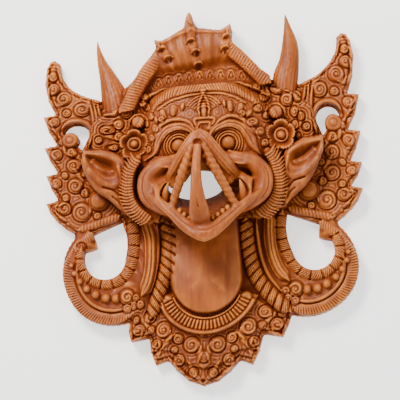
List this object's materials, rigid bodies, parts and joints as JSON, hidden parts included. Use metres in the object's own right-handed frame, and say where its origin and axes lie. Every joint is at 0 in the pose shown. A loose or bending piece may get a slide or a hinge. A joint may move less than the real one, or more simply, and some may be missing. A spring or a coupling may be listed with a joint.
{
  "type": "carved garuda mask",
  "caption": "Carved wooden garuda mask with bulging eyes, barred open beak, pierced scroll wings, horns, fan crest and leaf collar.",
  "frame": {"origin": "middle of the mask's box, on the back plane it lies on", "axes": "+Z out of the face, +Y from the collar up to the crest, +X to the right as one looks at the face"},
  "size_m": [0.3968, 0.469, 0.14],
  "materials": {
    "carved_wood": "stained and waxed hardwood, satin, darker in the cuts"
  },
  "bodies": {
    "root": {"garuda_mask": "carved_wood"}
  },
  "joints": []
}
